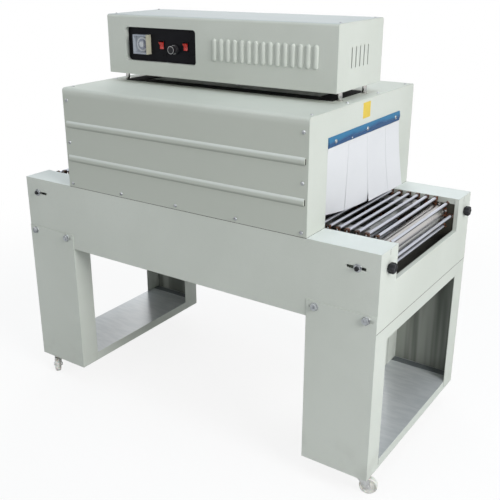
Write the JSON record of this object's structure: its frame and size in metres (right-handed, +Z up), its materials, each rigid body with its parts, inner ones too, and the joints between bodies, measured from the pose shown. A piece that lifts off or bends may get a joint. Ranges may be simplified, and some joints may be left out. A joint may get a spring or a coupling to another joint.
{
  "type": "heat shrink tunnel",
  "caption": "Free-standing heat shrink tunnel on leg stands: rod conveyor through a curtained hot-air chamber, with a control box on posts.",
  "frame": {"origin": "centre of the bounding box on the floor plane", "axes": "+X along the conveyor towards the outfeed end with the tension knobs, -Y towards the operator, +Z up"},
  "size_m": [1.319, 0.6652, 1.264],
  "materials": {
    "machine_paint": "light grey-green fine-textured powder coat",
    "dark_sheet": "dark oily sheet",
    "bright_steel": "bright drawn steel",
    "zinc": "bright zinc plate",
    "nylon": "off-white nylon",
    "galvanised": "galvanised sheet",
    "heater_steel": "heat-tinted stainless tube",
    "motor_paint": "dark grey enamel",
    "blue_strip": "blue film over metal strip",
    "curtain_cloth": "white heat-proof coated cloth",
    "fascia_black": "gloss black",
    "thermostat_shell": "beige and clear plastic",
    "dial_white": "pale dial",
    "switch_red": "red translucent plastic",
    "knob_black": "black plastic",
    "rod_steel": "drawn steel tube",
    "chain_steel": "oiled and rust-tinted steel",
    "drum_steel": "bright turned steel"
  },
  "bodies": {
    "machine": {"front_rail": "machine_paint", "rear_rail": "machine_paint", "left_end_panel": "machine_paint", "right_end_panel": "machine_paint", "right_front_post": "machine_paint", "right_rear_post": "machine_paint", "left_front_post": "machine_paint", "left_rear_post": "machine_paint", "leg_headers": "machine_paint", "leg_trays": "machine_paint", "tunnel_cover": "machine_paint", "left_end_wall": "machine_paint", "right_end_wall": "machine_paint", "control_tray": "machine_paint", "control_cover": "machine_paint", "bed_pan": "dark_sheet", "guide_rails": "bright_steel", "cross_bars": "bright_steel", "control_posts": "bright_steel", "drive_axle": "bright_steel", "caster_plates": "zinc", "inner_liner": "galvanised", "heater_tubes": "heater_steel", "fan_motor": "motor_paint", "gear_motor": "motor_paint", "left_clamp_strip": "blue_strip", "right_clamp_strip": "blue_strip", "fascia": "fascia_black", "switch_bezels": "fascia_black", "thermostat": "thermostat_shell", "motor_chain": "chain_steel"},
    "upper_run": {"upper_rods": "rod_steel", "upper_chain": "chain_steel"},
    "return_run": {"return_rods": "rod_steel", "return_chain": "chain_steel"},
    "drive_roll": {"drive_drum": "drum_steel", "drive_rods": "rod_steel", "drive_chain": "chain_steel"},
    "idler_carriage": {"idler_axle": "bright_steel"},
    "idler_roll": {"idler_drum": "drum_steel", "idler_rods": "rod_steel", "idler_chain": "chain_steel"},
    "motor_drive": {"motor_sprocket": "chain_steel"},
    "front_tension": {"front_tension_knob": "knob_black"},
    "rear_tension": {"rear_tension_knob": "knob_black"},
    "heater_switch": {"heater_rocker": "switch_red"},
    "conveyor_switch": {"conveyor_rocker": "switch_red"},
    "speed_setting": {"speed_knob": "knob_black"},
    "heat_setting": {"thermostat_dial": "dial_white"},
    "left_flap": {"left_curtain": "curtain_cloth"},
    "right_flap": {"right_curtain": "curtain_cloth"},
    "fan": {"fan_wheel": "galvanised"},
    "left_front_swivel": {"left_front_fork": "zinc"},
    "left_front_roll": {"left_front_wheel": "nylon"},
    "left_rear_swivel": {"left_rear_fork": "zinc"},
    "left_rear_roll": {"left_rear_wheel": "nylon"},
    "right_front_swivel": {"right_front_fork": "zinc"},
    "right_front_roll": {"right_front_wheel": "nylon"},
    "right_rear_swivel": {"right_rear_fork": "zinc"},
    "right_rear_roll": {"right_rear_wheel": "nylon"}
  },
  "joints": [
    {"name": "conveyor_advance", "type": "slide", "parent": "machine", "child": "upper_run", "axis": [1, 0, 0], "range_m": [-0.0142, 0.0142]},
    {"name": "conveyor_return", "type": "slide", "parent": "machine", "child": "return_run", "axis": [1, 0, 0], "range_m": [-0.0145, 0.0145]},
    {"name": "drive_turn", "type": "hinge", "parent": "machine", "child": "drive_roll", "pos_m": [-0.60736, 0, 0.692], "axis": [0, 1, 0], "range_deg": [-26.06, 26.06]},
    {"name": "idler_turn", "type": "hinge", "parent": "idler_carriage", "child": "idler_roll", "pos_m": [0.5785, 0, 0.692], "axis": [0, 1, 0], "range_deg": [-26.06, 26.06]},
    {"name": "motor_turn", "type": "hinge", "parent": "machine", "child": "motor_drive", "pos_m": [-0.50936, 0.218, 0.563], "axis": [0, 1, 0], "range_deg": [-26.06, 26.06]},
    {"name": "idler_take_up", "type": "slide", "parent": "machine", "child": "idler_carriage", "axis": [1, 0, 0], "range_m": [-0.003, 0.003]},
    {"name": "front_tension_turn", "type": "hinge", "parent": "machine", "child": "front_tension", "pos_m": [0.6405, -0.277, 0.692], "axis": [-1, 0, 0], "range_deg": [-722, 722]},
    {"name": "rear_tension_turn", "type": "hinge", "parent": "machine", "child": "rear_tension", "pos_m": [0.6405, 0.277, 0.692], "axis": [-1, 0, 0], "range_deg": [-722, 722]},
    {"name": "heater_switch_press", "type": "hinge", "parent": "machine", "child": "heater_switch", "pos_m": [-0.2115, -0.115, 1.177], "axis": [1, 0, 0], "range_deg": [-20, 0]},
    {"name": "conveyor_switch_press", "type": "hinge", "parent": "machine", "child": "conveyor_switch", "pos_m": [-0.1185, -0.115, 1.177], "axis": [1, 0, 0], "range_deg": [-20, 0]},
    {"name": "speed_turn", "type": "hinge", "parent": "machine", "child": "speed_setting", "pos_m": [-0.1595, -0.119, 1.167], "axis": [0, 1, 0], "range_deg": [0, 270]},
    {"name": "heat_turn", "type": "hinge", "parent": "machine", "child": "heat_setting", "pos_m": [-0.2845, -0.1233, 1.177], "axis": [0, 1, 0], "range_deg": [0, 270]},
    {"name": "left_curtain_swing", "type": "hinge", "parent": "machine", "child": "left_flap", "pos_m": [-0.4488, 0, 0.9567], "axis": [0, 1, 0], "range_deg": [-60, 75]},
    {"name": "right_curtain_swing", "type": "hinge", "parent": "machine", "child": "right_flap", "pos_m": [0.4298, 0, 0.9567], "axis": [0, -1, 0], "range_deg": [-60, 75]},
    {"name": "fan_spin", "type": "hinge", "parent": "machine", "child": "fan", "pos_m": [-0.0095, 0, 1.038], "axis": [0, 0, 1], "continuous": true},
    {"name": "left_front_caster_swivel", "type": "hinge", "parent": "machine", "child": "left_front_swivel", "pos_m": [-0.6265, -0.29, 0.0612], "axis": [0, 0, 1], "continuous": true},
    {"name": "left_front_wheel_spin", "type": "hinge", "parent": "left_front_swivel", "child": "left_front_roll", "pos_m": [-0.61236, -0.30685, 0.026], "axis": [-0.766, -0.6428, 0], "continuous": true},
    {"name": "left_rear_caster_swivel", "type": "hinge", "parent": "machine", "child": "left_rear_swivel", "pos_m": [-0.6265, 0.29, 0.0612], "axis": [0, 0, 1], "continuous": true},
    {"name": "left_rear_wheel_spin", "type": "hinge", "parent": "left_rear_swivel", "child": "left_rear_roll", "pos_m": [-0.61236, 0.30685, 0.026], "axis": [0.766, -0.6428, 0], "continuous": true},
    {"name": "right_front_caster_swivel", "type": "hinge", "parent": "machine", "child": "right_front_swivel", "pos_m": [0.6075, -0.29, 0.0612], "axis": [0, 0, 1], "continuous": true},
    {"name": "right_front_wheel_spin", "type": "hinge", "parent": "right_front_swivel", "child": "right_front_roll", "pos_m": [0.62817, -0.28248, 0.026], "axis": [0.342, -0.9397, 0], "continuous": true},
    {"name": "right_rear_caster_swivel", "type": "hinge", "parent": "machine", "child": "right_rear_swivel", "pos_m": [0.6075, 0.29, 0.0612], "axis": [0, 0, 1], "continuous": true},
    {"name": "right_rear_wheel_spin", "type": "hinge", "parent": "right_rear_swivel", "child": "right_rear_roll", "pos_m": [0.58756, 0.2993, 0.026], "axis": [0.4226, 0.9063, 0], "continuous": true}
  ],
  "couplings": [
    {"joint": "conveyor_return", "follows": "conveyor_advance", "ratio": -1},
    {"joint": "drive_turn", "follows": "conveyor_advance", "rad_per_m": 31.412},
    {"joint": "idler_turn", "follows": "conveyor_advance", "rad_per_m": 31.412},
    {"joint": "motor_turn", "follows": "conveyor_advance", "rad_per_m": 31.412},
    {"joint": "front_tension_turn", "follows": "idler_take_up", "rad_per_m": 4188.8},
    {"joint": "rear_tension_turn", "follows": "idler_take_up", "rad_per_m": 4188.8}
  ]
}
